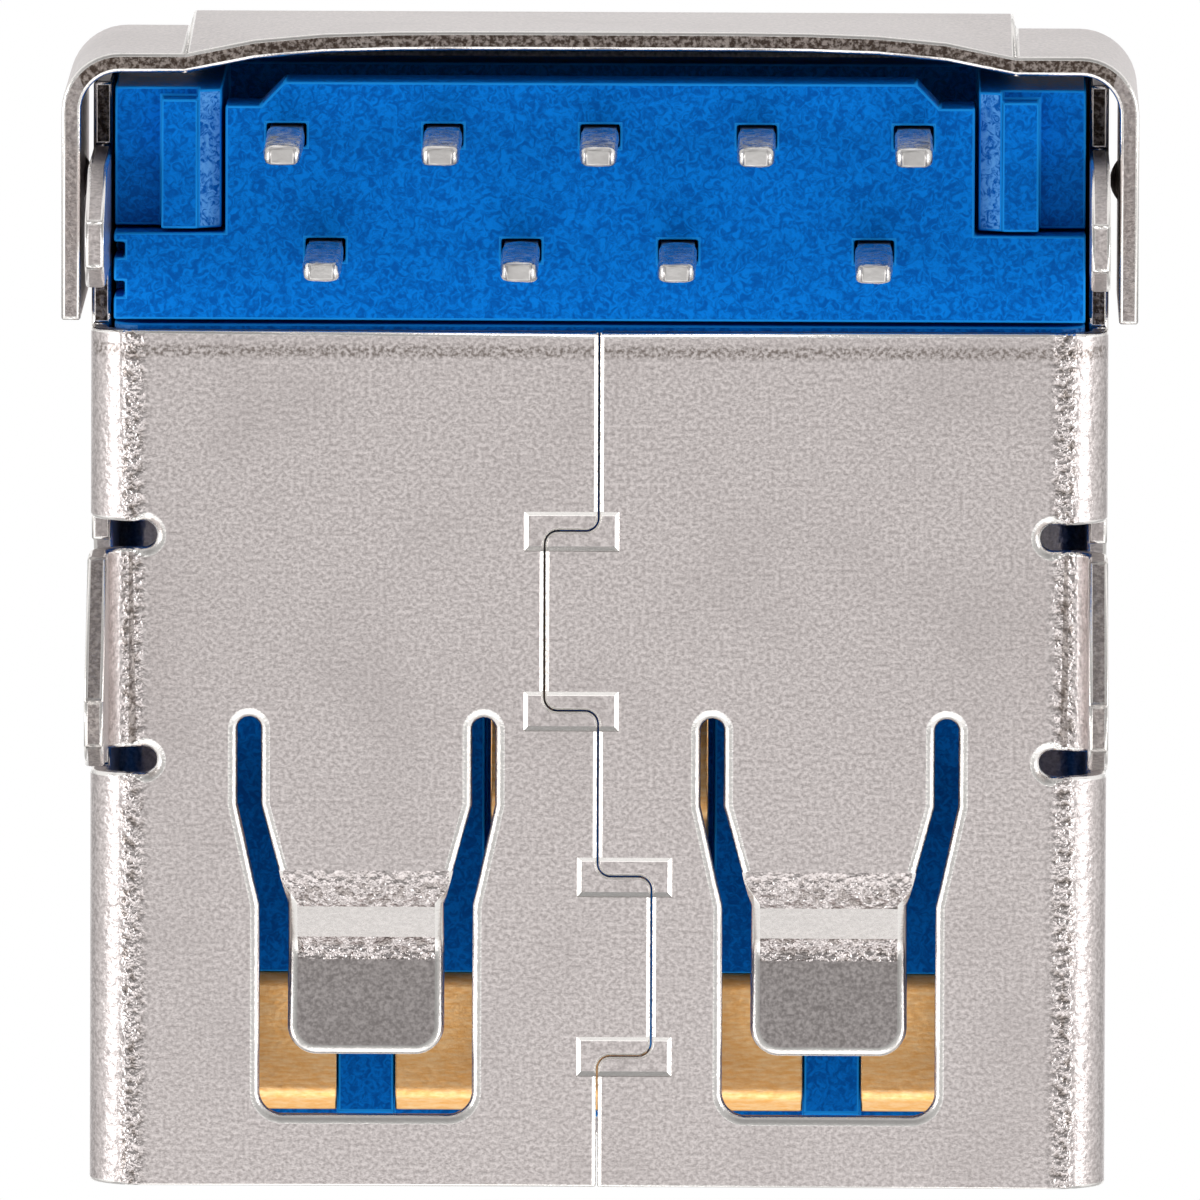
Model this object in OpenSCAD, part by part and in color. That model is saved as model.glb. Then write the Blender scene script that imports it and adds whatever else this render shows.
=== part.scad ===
// Nine-contact socket for a USB-A plug, soldered flat on a board.
// x runs across the socket, y from its mouth to its back, and z up from the board.
// The origin is on the board, halfway along the line between the two front legs.

/* [Shell] */
// Thickness of the shell's sheet
sheet = 0.25; // [0.2:0.01:0.28]
// Width of the opening for the plug
opening_w = 12.5; // [12.4:0.05:12.9]
// Height of the opening for the plug
opening_h = 5.12; // [5:0.02:5.4]
// Outside radius of the four long bends
bend_r = 0.6; // [0.5:0.05:0.7]
// From the line of the front legs forward to the mouth
mouth_reach = 6.92; // [6.7:0.02:7.4]
// From the line of the front legs back to the rear edge of the floor
floor_reach = 4.07; // [3.9:0.01:4.2]
// Height of the side walls' lower edge behind the floor
wall_low = 0.8; // [0.7:0.05:1]
// Height of the side walls' lower edge behind the rear legs
heel_low = 1.6; // [1.2:0.05:2]

/* [Seam in the floor] */
// Width of the gap between the two folded halves
seam_gap = 0.02; // [0.02:0.005:0.06]
// How far each locking tab reaches past the middle
seam_tab = 0.69; // [0.6:0.01:0.8]
// Radius of the curves in the seam
seam_r = 0.17; // [0.12:0.01:0.22]
// From the mouth to the first jog of the seam
seam_first = 1.68; // [1.5:0.02:1.9]
// Length of a locking tab
seam_tab_l = 2.31; // [2:0.01:2.5]
// Length of the straight run between the two tabs
seam_run_l = 2.13; // [1.8:0.01:2.3]
// Width of the coined mark over a jog
coin_w = 1.22; // [1:0.02:1.4]
// Length of the coined mark along the seam
coin_l = 0.51; // [0.45:0.01:0.6]
// Depth of the coined mark
coin_depth = 0.07; // [0.04:0.01:0.1]

/* [Spring fingers] */
// Distance between the middles of the two fingers on a face
finger_pitch = 5.92; // [5.7:0.02:6.2]
// Width of a finger at its root
finger_root_w = 2.7; // [2.5:0.05:2.8]
// Width of a finger at its tip
finger_tip_w = 2.0; // [1.8:0.05:2.1]
// Width of the slots beside the root
finger_slot = 0.3; // [0.25:0.01:0.34]
// Gap beside the narrow end of a finger
finger_side_gap = 0.36; // [0.3:0.01:0.4]
// Sheet left between a finger's window and the mouth
finger_land = 0.92; // [0.8:0.02:1.1]
// Gap in front of the tip
finger_tip_gap = 0.76; // [0.6:0.02:0.9]
// Length of the narrow end, from the tip to the neck
finger_end_l = 1.94; // [1.8:0.02:2.1]
// Length of the tapered neck
finger_neck_l = 1.29; // [1.1:0.01:1.4]
// Length of the straight root, from the neck to the ends of the slots
finger_root_l = 1.12; // [1:0.02:1.3]
// How far the middle of a finger dips into the opening
finger_dip = 0.45; // [0.42:0.01:0.5]
// Slope of the finger on its way in
finger_slope_in = 32; // [28:1:36]
// Slope of the lead-in at the tip
finger_slope_out = 15; // [10:1:18]
// Radius of the rounded corners of a finger's tip
finger_tip_r = 0.37; // [0.2:0.01:0.5]
// Radius of the front corners of a finger's window
window_r = 0.3; // [0.2:0.02:0.4]

/* [Solder legs] */
// Length of the legs below the board
leg_l = 2.85; // [2.4:0.05:3.2]
// Width of a front leg at its root
front_leg_w = 2.56; // [2.4:0.02:2.7]
// Width of the relief slots beside a front leg
relief_w = 0.34; // [0.28:0.01:0.4]
// How far the relief slots reach into the floor from its outer side
relief_reach = 0.44; // [0.4:0.01:0.5]
// Width of a rear leg
rear_leg_w = 1.46; // [1.3:0.02:1.6]
// From the line of the front legs back to that of the rear legs
rear_leg_y = 5.56; // [5.45:0.01:5.65]
// Length of the straight part of a leg before it tapers
leg_straight = 1.2; // [0.9:0.05:1.5]
// Width of a leg's tip
leg_tip_w = 0.6; // [0.4:0.02:0.8]

/* [Rear flap] */
// Width of the fold that joins the flap to the roof
flap_fold_w = 10.6; // [10.2:0.1:10.9]
// Outside radius of that fold
flap_fold_r = 0.62; // [0.6:0.01:0.64]
// How far the middle of the flap's lower edge bows out
flap_bow = 0.15; // [0.05:0.01:0.3]
// Height of the flap's lower edge above the board
flap_low = 0.35; // [0.2:0.05:0.5]
// Gap between the tail plate and the flap
flap_gap = 0.24; // [0.2:0.01:0.28]
// How far the flap's corners are set in from its fold
flap_joggle = 0.15; // [0.12:0.01:0.18]
// Outside radius of the flap's two upright corners
flap_corner_r = 0.75; // [0.7:0.01:0.8]
// Gap between a wing of the flap and the side wall
wing_gap = 0.13; // [0.1:0.01:0.16]
// Height of the wings' upper edge above the board
wing_top = 4.6; // [4.2:0.1:4.8]
// From the line of the front legs back to the wings' front end
wing_front = 4.16; // [4.1:0.02:4.3]
// Diameter of the ball that presses the dimple into each wing
dimple_d = 0.75; // [0.7:0.05:1]
// From the middle of the rear leg back to the dimple
dimple_back = 0.28; // [0.2:0.01:0.36]
// Gap left between the dimple and the side wall
dimple_gap = 0.02; // [0.01:0.005:0.04]

/* [Insulator] */
// Play between the insulator and the shell
fit = 0.05; // [0.03:0.01:0.08]
// From the mouth to the front wall that stops the plug
cavity_depth = 8.9; // [8.7:0.05:9.2]
// Width of the tongue
tongue_w = 11.1; // [10.8:0.05:11.3]
// Thickness of the tongue
tongue_t = 1.84; // [1.76:0.02:1.94]
// Gap between the tongue and the roof
tongue_roof_gap = 0.7; // [0.66:0.02:0.76]
// From the mouth to the front edge of the tongue
tongue_setback = 0.52; // [0.46:0.02:0.58]
// Chamfer around the front edge of the tongue
tongue_chamfer = 0.1; // [0.06:0.01:0.14]
// Depth of the grooves for the spring contacts
groove_depth = 0.72; // [0.68:0.02:0.76]
// Play on each side of a spring contact in its groove
groove_side = 0.08; // [0.05:0.01:0.1]
// From the mouth to the front end of the grooves
groove_start = 3.8; // [3.6:0.05:4]
// Gap between each cheek and the flap behind it
cheek_gap = 0.2; // [0.16:0.01:0.24]
// Width of the rib along the underside of each cheek
cheek_rib_w = 0.47; // [0.4:0.01:0.55]
// Height of the rib along the underside of each cheek
cheek_rib_h = 0.5; // [0.4:0.05:0.7]
// From the inner side of each cheek to its rib
cheek_rib_inset = 0.3; // [0.25:0.01:0.36]
// From the rear end of each cheek to its rib
cheek_rib_setback = 0.12; // [0.05:0.01:0.2]
// Height of the slope between each rib and the inner side of its cheek
cheek_slope_h = 0.14; // [0.1:0.01:0.2]
// Gap between the high-speed contacts and the bridge above them
bridge_gap = 0.15; // [0.1:0.01:0.2]

/* [Tail plate] */
// Gap between the tail plate and the board
plate_lift = 0.12; // [0.08:0.01:0.2]
// Thickness of the tail plate
plate_t = 1.1; // [0.9:0.05:1.3]
// Gap between the rear edge of the floor and the tail plate
plate_gap = 0.13; // [0.1:0.01:0.18]
// Width of the tail plate behind its front bar
plate_w = 9.56; // [9.4:0.02:9.7]
// Gap between the tail plate and the cheeks
plate_fit = 0.05; // [0.03:0.01:0.08]
// From the middle of the high-speed contacts' tails to the plate's rear shoulders
plate_rim = 0.37; // [0.32:0.01:0.42]
// Width of the tail plate's rear edge
plate_nose_w = 8.06; // [7.8:0.02:8.3]
// How far the rear edge stands out from the plate's shoulders
plate_nose_l = 0.31; // [0.25:0.01:0.35]
// Depth of the two notches in one end of the front bar
notch_depth = 0.14; // [0.1:0.01:0.2]
// Length of the two notches in one end of the front bar
notch_l = 0.2; // [0.15:0.01:0.25]

/* [Contacts] */
// Distance between neighbouring high-speed contacts
fast_pitch = 2.0; // [1.96:0.01:2.04]
// Distance between the two inner spring contacts
inner_pitch = 2.0; // [1.9:0.01:2.1]
// Distance between the two outer spring contacts
outer_pitch = 7.0; // [6.9:0.01:7.05]
// From the line of the front legs back to the spring contacts' tails
spring_row = 5.1; // [5:0.01:5.2]
// From the spring contacts' tails back to the high-speed contacts' tails
row_pitch = 1.47; // [1.4:0.01:1.55]
// Thickness of the contacts
contact_t = 0.22; // [0.18:0.01:0.24]
// Width of all tails
tail_w = 0.43; // [0.38:0.01:0.48]
// Length of the tails below the board
tail_l = 2.9; // [2.5:0.05:3.2]
// Length of the tails' tapered tips
tail_tip_l = 0.3; // [0.2:0.02:0.5]
// Width of the tails' ends
tail_tip_w = 0.32; // [0.26:0.01:0.36]
// Play around a tail in its hole
tail_play = 0.04; // [0.03:0.005:0.06]
// Play around a contact where the insulator holds it
seat_play = 0.02; // [0.01:0.005:0.03]
// Width of a spring contact
spring_w = 0.8; // [0.7:0.02:0.84]
// Slope of a spring contact's free arm
spring_slope = 11; // [9:0.5:12]
// Length of a spring contact's free arm
spring_l = 3.9; // [3.6:0.05:4.1]
// Length of a spring contact's upturned tip
spring_tip_l = 0.55; // [0.45:0.01:0.6]
// Slope of a spring contact's upturned tip
spring_tip_slope = 50; // [45:1:55]
// Depth below the tongue's face at which the spring contacts leave the front wall
spring_depth = 0.3; // [0.26:0.02:0.34]
// Width of a high-speed contact's pad
pad_w = 1.25; // [1.1:0.01:1.3]
// Length of the flat of a high-speed contact's pad
pad_l = 1.29; // [1.2:0.01:1.4]
// From the mouth to the front end of the pads
pad_setback = 0.68; // [0.66:0.01:0.8]
// How far a pad stands out from the tongue
pad_proud = 0.03; // [0.02:0.01:0.05]
// Width of a high-speed contact behind its pad
fast_w = 0.6; // [0.5:0.02:0.7]
// Depth of the high-speed contacts below the tongue's face
fast_depth = 1.22; // [1.14:0.02:1.3]

/* [Hidden] */
$fn = 48;
eps = 0.01;
outer_w = opening_w + 2 * sheet;
outer_h = opening_h + 2 * sheet;
inner_r = bend_r - sheet;
wall_x = opening_w / 2;
wall_mid = wall_x + sheet / 2;
mouth_y = -mouth_reach;

// Places along the seam, counted from the mouth
jog_a = mouth_y + seam_first;
jog_b = jog_a + seam_tab_l;
jog_c = jog_b + seam_run_l;
jog_d = jog_c + seam_tab_l;
// Each jog: its y, the seam's x in front of it and the seam's x behind it
jogs = [[jog_a, 0, -seam_tab], [jog_b, -seam_tab, 0], [jog_c, 0, seam_tab], [jog_d, seam_tab, 0]];

// Places along a finger, counted from the mouth
finger_window_y = mouth_y + finger_land;
finger_tip_y = finger_window_y + finger_tip_gap;
finger_end_y = finger_tip_y + finger_end_l;
finger_neck_y = finger_end_y + finger_neck_l;
finger_root_y = finger_neck_y + finger_root_l;
finger_bend_r = 0.75;
finger_nose_r = 0.5;
// The bend into the slope ends just behind the narrow end
finger_bend_y = finger_end_y + finger_bend_r * sin(finger_slope_in) + 3 * eps;

// The tail plate, the cheeks and the flap follow the two rows of tails
fast_row = spring_row + row_pitch;
plate_front = floor_reach + plate_gap;
bar_back = spring_row + tail_w / 2;
plate_shoulder = fast_row + plate_rim;
plate_back = plate_shoulder + plate_nose_l;
plate_top = plate_lift + plate_t;
flap_in = plate_back + flap_gap;
flap_out = flap_in + sheet;
flap_bend_z = outer_h - flap_fold_r;
flap_panel_z = flap_bend_z - sheet;
flap_corner_out = flap_out - flap_joggle;
wall_back = flap_out - flap_fold_r;
wing_x = wall_x + sheet + wing_gap;

base_front = mouth_y + cavity_depth;
base_back = floor_reach + plate_gap / 2;
cheek_in = plate_w / 2 + plate_fit;
cheek_out = wall_x - fit;
cheek_back = flap_corner_out - sheet - cheek_gap;
cheek_front = bar_back + plate_fit;
cheek_low = plate_lift + cheek_rib_h;
cheek_rib_in = cheek_in + cheek_rib_inset;
cheek_rib_edge = 0.05;

tongue_top = outer_h - sheet - tongue_roof_gap;
tongue_face = tongue_top - tongue_t;
tongue_front = mouth_y + tongue_setback;
contact_bend_r = 0.35;
spring_bend_r = 1;
spring_z = tongue_face + spring_depth;
spring_xs = [outer_pitch / 2, inner_pitch / 2, -inner_pitch / 2, -outer_pitch / 2];
fast_z = tongue_face + fast_depth;
fast_xs = [for (i = [2:-1:-2]) i * fast_pitch];
bridge_low = fast_z + contact_t / 2 + bridge_gap;
pad_z = tongue_face - pad_proud + contact_t / 2;
pad_step_r = 0.25;
pad_step_angle = 45;
pad_nose_l = 0.16;
pad_nose_angle = 30;
pad_nose_run = pad_nose_l * cos(pad_nose_angle) + pad_step_r * sin(pad_nose_angle);
pad_nose_rise = pad_nose_l * sin(pad_nose_angle) + pad_step_r * (1 - cos(pad_nose_angle));
pad_pocket_depth = pad_nose_rise + contact_t;
pad_front = mouth_y + pad_setback;
pad_back = pad_front + pad_nose_run + pad_l;

// Extrusions along each axis between two places
module along_x(x0, x1) {
  translate([x0, 0, 0]) rotate([90, 0, 90]) linear_extrude(x1 - x0) children();
}

module along_y(y0, y1) {
  translate([0, y1, 0]) rotate([90, 0, 0]) linear_extrude(y1 - y0) children();
}

module along_z(z0, z1) {
  translate([0, 0, z0]) linear_extrude(z1 - z0) children();
}

module both_sides() {
  children();
  mirror([1, 0, 0]) children();
}

module rounded_rect(w, h, r) {
  square([w - 2 * r, h], center = true);
  square([w, h - 2 * r], center = true);
  for (x = [-1, 1], y = [-1, 1])
    translate([x * (w / 2 - r), y * (h / 2 - r)]) circle(r);
}

// Part of a ring about the origin, from straight down and anticlockwise by half a turn at most
module arc_band(r, t, angle) {
  far = 2 * (r + t);
  difference() {
    circle(r + t / 2);
    circle(r - t / 2);
    translate([-far, -far]) square([far, 2 * far]);
    rotate(angle) translate([0, -far]) square([far, 2 * far]);
  }
}

// Strip bent along a path: each step is a straight length, or a radius and an angle to turn left by
module bent_strip(steps, t, i = 0) {
  if (i < len(steps)) {
    r = steps[i][0];
    angle = steps[i][1];
    if (angle == 0) {
      translate([0, -t / 2]) square([r, t]);
      translate([r, 0]) bent_strip(steps, t, i + 1);
    } else {
      turn = angle > 0 ? 0 : 1;
      mirror([0, turn]) translate([0, r]) arc_band(r, t, abs(angle));
      side = sign(angle) * r;
      translate([0, side]) rotate(angle) translate([0, -side]) bent_strip(steps, t, i + 1);
    }
  }
}

module shell_section(inset, r) {
  translate([0, outer_h / 2]) rounded_rect(outer_w - 2 * inset, outer_h - 2 * inset, r);
}

// Gap between the two folded halves, from the mouth to the back of the floor
module seam_line() {
  ys = [mouth_y - eps, for (jog = jogs) jog[0], floor_reach + eps];
  xs = [0, for (jog = jogs) jog[2]];
  last = len(jogs);
  for (i = [0:last]) {
    y0 = ys[i] + (i > 0 ? seam_r : 0);
    y1 = ys[i + 1] - (i < last ? seam_r : 0);
    translate([xs[i] - seam_gap / 2, y0]) square([seam_gap, y1 - y0]);
  }
  for (jog = jogs)
    translate([jog[1], jog[0] - seam_r]) mirror([jog[2] > jog[1] ? 0 : 1, 0]) seam_jog(abs(jog[2] - jog[1]));
}

module seam_jog(width) {
  run = width - 2 * seam_r;
  translate([seam_r, 0]) rotate(180) arc_band(seam_r, seam_gap, 90);
  translate([seam_r, seam_r - seam_gap / 2]) square([run, seam_gap]);
  translate([seam_r + run, 2 * seam_r]) arc_band(seam_r, seam_gap, 90);
}

module coin_marks() {
  for (jog = jogs)
    translate([(jog[1] + jog[2]) / 2, jog[0]]) square([coin_w, coin_l], center = true);
}

// Outline of a spring finger in the plane of its sheet
module finger_outline() {
  root = finger_root_w / 2;
  tip = finger_tip_w / 2;
  corner_y = finger_tip_y + finger_tip_r;
  polygon([
    [root, finger_root_y], [root, finger_neck_y], [tip, finger_end_y], [tip, corner_y],
    [-tip, corner_y], [-tip, finger_end_y], [-root, finger_neck_y], [-root, finger_root_y]
  ]);
  translate([finger_tip_r - tip, finger_tip_y]) square(2 * [tip - finger_tip_r, finger_tip_r]);
  for (side = [-1, 1])
    translate([side * (tip - finger_tip_r), corner_y]) circle(finger_tip_r);
}

// What is cut from the sheet around a finger and in place of its bent end
module finger_window() {
  root = finger_root_w / 2;
  tip = finger_tip_w / 2;
  bend = tip + (root - tip) * (finger_bend_y - finger_end_y) / finger_neck_l;
  slot = root + finger_slot;
  end = tip + finger_side_gap;
  slot_end_y = finger_root_y - finger_slot / 2;
  corner_y = finger_window_y + window_r;
  polygon([
    [slot, slot_end_y], [slot, finger_neck_y], [end, finger_end_y], [end, corner_y],
    [-end, corner_y], [-end, finger_end_y], [-slot, finger_neck_y], [-slot, slot_end_y],
    [-root, slot_end_y], [-root, finger_neck_y], [-bend, finger_bend_y],
    [bend, finger_bend_y], [root, finger_neck_y], [root, slot_end_y]
  ]);
  translate([window_r - end, finger_window_y]) square(2 * [end - window_r, window_r]);
  for (side = [-1, 1]) {
    translate([side * (end - window_r), corner_y]) circle(window_r);
    translate([side * (root + finger_slot / 2), slot_end_y]) circle(finger_slot / 2);
  }
}

// The bent end of a finger, whose sheet fills z from 0 to the sheet's thickness
module finger_end() {
  arcs_rise = (finger_bend_r + finger_nose_r) * (1 - cos(finger_slope_in));
  steps = [
    [eps, 0], [finger_bend_r, -finger_slope_in], [(finger_dip - arcs_rise) / sin(finger_slope_in), 0],
    [finger_nose_r, finger_slope_in + finger_slope_out], [finger_end_l, 0]
  ];
  intersection() {
    along_z(-sheet, finger_dip + 2 * sheet) finger_outline();
    along_x(-finger_root_w / 2, finger_root_w / 2)
      translate([finger_bend_y + eps, sheet / 2]) rotate(180) bent_strip(steps, sheet);
  }
}

// Places its children once for every finger, with the finger's sheet lying on z = 0
module at_fingers() {
  for (x = [-1, 1] * finger_pitch / 2) {
    translate([x, 0, 0]) children();
    translate([x, 0, outer_h]) mirror([0, 0, 1]) children();
  }
}

// Outline of a leg, seen from the side, with its root at z = 0 and its tip leaning to the mouth
module leg_outline(w, root_z) {
  tip_y = -w / 2 + leg_tip_w / 2;
  polygon([
    [-w / 2, root_z], [w / 2, root_z], [w / 2, -leg_straight],
    [tip_y + leg_tip_w, -leg_l], [tip_y, -leg_l], [-w / 2, -leg_l + leg_tip_w]
  ]);
}

// A front leg is cut from the side wall and bent down where the floor's own bend starts
module front_leg() {
  middle_r = inner_r + sheet / 2;
  steps = [[middle_r, -90], [leg_l, 0]];
  intersection() {
    along_y(-front_leg_w / 2, front_leg_w / 2)
      translate([wall_mid - middle_r, sheet / 2]) bent_strip(steps, sheet);
    along_x(0, outer_w) leg_outline(front_leg_w, sheet);
  }
}

module front_leg_window() {
  translate([wall_x - inner_r, -front_leg_w / 2, -eps]) cube([sheet * 4, front_leg_w, bend_r + eps]);
  along_x(wall_x - inner_r, outer_w)
    translate([0, bend_r - eps]) mirror([0, 1]) leg_outline(front_leg_w, 0);
  for (side = [-1, 1])
    along_z(-eps, bend_r + relief_w) translate([0, side * (front_leg_w + relief_w) / 2]) {
      translate([wall_x - relief_reach, 0]) circle(relief_w / 2);
      translate([wall_x - relief_reach, -relief_w / 2]) square([relief_reach + sheet * 2, relief_w]);
    }
}

module rear_leg() {
  along_x(wall_x, wall_x + sheet) translate([rear_leg_y, 0]) leg_outline(rear_leg_w, wall_low + sheet);
}

// What is missing from the tube behind its floor
module rear_cut() {
  translate([-outer_w, floor_reach, -eps]) cube([2 * outer_w, outer_w, wall_low + eps]);
  translate([-outer_w, rear_leg_y + rear_leg_w / 2, -eps]) cube([2 * outer_w, outer_w, heel_low + eps]);
}

// How far the flap stands out at x across and a share of the way down
function bow_at(x, share) =
  share * (flap_bow - (flap_bow + flap_joggle) * pow(abs(2 * x / flap_fold_w), 5));

// The flap's wide middle panel: straight at the fold and bowed at its lower edge
module flap_panel() {
  count = 12;
  xs = [for (i = [0:count]) flap_fold_w * (i / count - 0.5)];
  corners = [[flap_out, 0], [flap_in, 0], [flap_in, 1], [flap_out, 1]];
  points = [for (x = xs, c = corners)
    [x, c[0] + bow_at(x, c[1]), flap_panel_z + c[1] * (flap_low - flap_panel_z)]];
  sides = [for (i = [0:count - 1], k = [0:3]) let (a = 4 * i + k, b = 4 * i + (k + 1) % 4)
    each [[b + 4, b, a], [a + 4, b + 4, a]]];
  ends = [[0, 1, 2, 3], [for (k = [3:-1:0]) 4 * count + k]];
  polyhedron(points, concat(sides, ends));
}

module flap_fold() {
  steps = [[eps, 0], [flap_fold_r - sheet / 2, -90], [flap_bend_z - flap_panel_z, 0]];
  along_x(-flap_fold_w / 2, flap_fold_w / 2)
    translate([wall_back - eps, outer_h - sheet / 2]) bent_strip(steps, sheet);
}

// One upright corner of the flap with the wing that it carries
module flap_wing() {
  middle_r = flap_corner_r - sheet / 2;
  corner_x = wing_x + sheet - flap_corner_r;
  wing_l = flap_corner_out - flap_corner_r - wing_front;
  steps = [[corner_x - flap_fold_w / 2, 0], [middle_r, -90], [wing_l, 0]];
  difference() {
    union() {
      along_z(flap_low, wing_top)
        translate([flap_fold_w / 2, flap_corner_out - sheet / 2]) bent_strip(steps, sheet);
      intersection() {
        wing_ball(0);
        translate([wing_x - sheet, 0, 0]) cube([1.5 * sheet, outer_w, outer_h]);
      }
    }
    wing_ball(sheet);
  }
}

// Ball that presses the dimple into a wing, moved outwards by a distance
module wing_ball(out) {
  x = wing_x - wing_gap + dimple_gap + dimple_d / 2 + out;
  translate([x, rear_leg_y + dimple_back, wing_top / 2]) sphere(dimple_d / 2);
}

module shell() color("gainsboro") {
  difference() {
    along_y(mouth_y, wall_back) difference() {
      shell_section(0, bend_r);
      shell_section(sheet, inner_r);
    }
    rear_cut();
    along_z(-eps, sheet + eps) seam_line();
    along_z(-eps, coin_depth) coin_marks();
    at_fingers() along_z(-eps, sheet + eps) finger_window();
    both_sides() front_leg_window();
  }
  at_fingers() finger_end();
  both_sides() {
    front_leg();
    rear_leg();
    flap_wing();
  }
  flap_fold();
  flap_panel();
}

// Side view of a spring contact, from the back of the front wall towards its tip
function spring_steps(play) = [
  [base_back + play - base_front, 0], [spring_bend_r, -spring_slope], [spring_l, 0],
  [contact_bend_r, spring_slope + spring_tip_slope], [spring_tip_l, 0]
];

// Side view of a high-speed contact, from the back of the front wall towards its pad
function fast_steps(play) =
  let (drop = fast_z - pad_z - 2 * pad_step_r * (1 - cos(pad_step_angle)),
    run = drop / tan(pad_step_angle) + 2 * pad_step_r * sin(pad_step_angle))
  [
    [base_back + play - pad_back - run, 0],
    [pad_step_r, -pad_step_angle], [drop / sin(pad_step_angle), 0], [pad_step_r, pad_step_angle],
    [pad_l, 0], [pad_step_r, pad_nose_angle], [pad_nose_l, 0]
  ];

// Steps of a contact from the back of the front wall to the top of its tail
function tail_steps(row) = [
  [row - base_back - contact_bend_r, 0], [contact_bend_r, -90]
];

module contact_tail(row, z) {
  top = z - contact_bend_r;
  along_x(-tail_w / 2, tail_w / 2)
    translate([base_back, z]) bent_strip(tail_steps(row), contact_t);
  along_y(row - contact_t / 2, row + contact_t / 2) polygon([
    [-tail_w / 2, top], [tail_w / 2, top], [tail_w / 2, tail_tip_l - tail_l],
    [tail_tip_w / 2, -tail_l], [-tail_tip_w / 2, -tail_l], [-tail_w / 2, tail_tip_l - tail_l]
  ]);
}

// The part of a spring contact ahead of its tail, grown by the play around it
module spring_arm(play) {
  along_x(-spring_w / 2 - play, spring_w / 2 + play)
    translate([base_back + play, spring_z])
      mirror([1, 0]) bent_strip(spring_steps(play), contact_t + 2 * play);
}

// The part of a high-speed contact ahead of its tail, grown by the play around it
module fast_arm(play) {
  along_x(-fast_w / 2 - play, fast_w / 2 + play) fast_side(play);
  intersection() {
    along_x(-pad_w / 2 - play, pad_w / 2 + play) fast_side(play);
    translate([-pad_w, mouth_y, 0]) cube([2 * pad_w, pad_back + contact_t + play - mouth_y, outer_h]);
  }
}

module fast_side(play) {
  translate([base_back + play, fast_z])
    mirror([1, 0]) bent_strip(fast_steps(play), contact_t + 2 * play);
}

module spring_contact(i) color("goldenrod") translate([spring_xs[i], 0, 0]) {
  spring_arm(0);
  contact_tail(spring_row, spring_z);
}

module fast_contact(i) color("goldenrod") translate([fast_xs[i], 0, 0]) {
  fast_arm(0);
  contact_tail(fast_row, fast_z);
}

module power_contact() { spring_contact(3); }
module data_minus_contact() { spring_contact(2); }
module data_plus_contact() { spring_contact(1); }
module ground_contact() { spring_contact(0); }
module receive_minus_contact() { fast_contact(0); }
module receive_plus_contact() { fast_contact(1); }
module drain_contact() { fast_contact(2); }
module send_minus_contact() { fast_contact(3); }
module send_plus_contact() { fast_contact(4); }

// Tongue with its front edge chamfered above and below
module tongue() {
  along_x(-tongue_w / 2, tongue_w / 2) polygon([
    [base_back, tongue_face], [base_back, tongue_top], [tongue_front + tongue_chamfer, tongue_top],
    [tongue_front, tongue_top - tongue_chamfer], [tongue_front, tongue_face + tongue_chamfer],
    [tongue_front + tongue_chamfer, tongue_face]
  ]);
}

// One of the two cheeks behind the front wall, between which the tails come down
module cheek() {
  intersection() {
    along_y(base_back - eps, cheek_back) shell_section(sheet + fit, inner_r);
    translate([cheek_in, 0, plate_top]) cube([outer_w, outer_w, outer_h]);
  }
  rib_side = plate_lift + cheek_rib_edge;
  along_y(cheek_front, cheek_back) polygon([
    [cheek_in, outer_h / 2], [cheek_in, rib_side + cheek_slope_h], [cheek_rib_in, rib_side],
    [cheek_rib_in, cheek_low], [cheek_out, cheek_low], [cheek_out, outer_h / 2]
  ]);
  translate([cheek_rib_in, cheek_front, plate_lift])
    cube([cheek_rib_w, cheek_back - cheek_rib_setback - cheek_front, outer_h / 2 - plate_lift]);
}

// Joins the two cheeks above the contacts, under the roof
module bridge() {
  intersection() {
    along_y(base_back - eps, cheek_back) shell_section(sheet + fit, inner_r);
    translate([-outer_w / 2, base_front, bridge_low]) cube([outer_w, outer_w, outer_h]);
  }
}

module insulator() color("royalblue") difference() {
  union() {
    along_y(base_front, base_back) shell_section(sheet + fit, inner_r);
    tongue();
    both_sides() cheek();
    bridge();
  }
  for (x = spring_xs) translate([x, 0, 0]) {
    spring_arm(seat_play);
    translate([-spring_w / 2 - groove_side, mouth_y + groove_start, tongue_face - eps])
      cube([spring_w + 2 * groove_side, base_front - mouth_y - groove_start, groove_depth + eps]);
  }
  for (x = fast_xs) translate([x, 0, 0]) {
    fast_arm(seat_play);
    translate([-pad_w / 2 - seat_play, tongue_front - eps, tongue_face - eps])
      cube([pad_w + 2 * seat_play, pad_front + pad_nose_run - tongue_front + eps, pad_pocket_depth + eps]);
  }
}

// Outline of the tail plate, seen from above
module plate_outline() {
  bar_w = 2 * cheek_out;
  shoulder_w = plate_nose_w + 2 * plate_nose_l;
  translate([-bar_w / 2, plate_front]) square([bar_w, bar_back - plate_front]);
  translate([-plate_w / 2, plate_front]) square([plate_w, plate_shoulder - plate_front]);
  polygon([
    [shoulder_w / 2, plate_shoulder - eps], [plate_nose_w / 2, plate_back],
    [-plate_nose_w / 2, plate_back], [-shoulder_w / 2, plate_shoulder - eps]
  ]);
}

module tail_plate() color("dodgerblue") difference() {
  along_z(plate_lift, plate_top) plate_outline();
  hole = [tail_w + 2 * tail_play, contact_t + 2 * tail_play];
  along_z(0, plate_top + eps) {
    for (x = spring_xs) translate([x, spring_row]) square(hole, center = true);
    for (x = fast_xs) translate([x, fast_row]) square(hole, center = true);
    for (share = [0.35, 0.8])
      translate([cheek_out, plate_front + share * (bar_back - plate_front)])
        square([2 * notch_depth, notch_l], center = true);
  }
}

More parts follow.
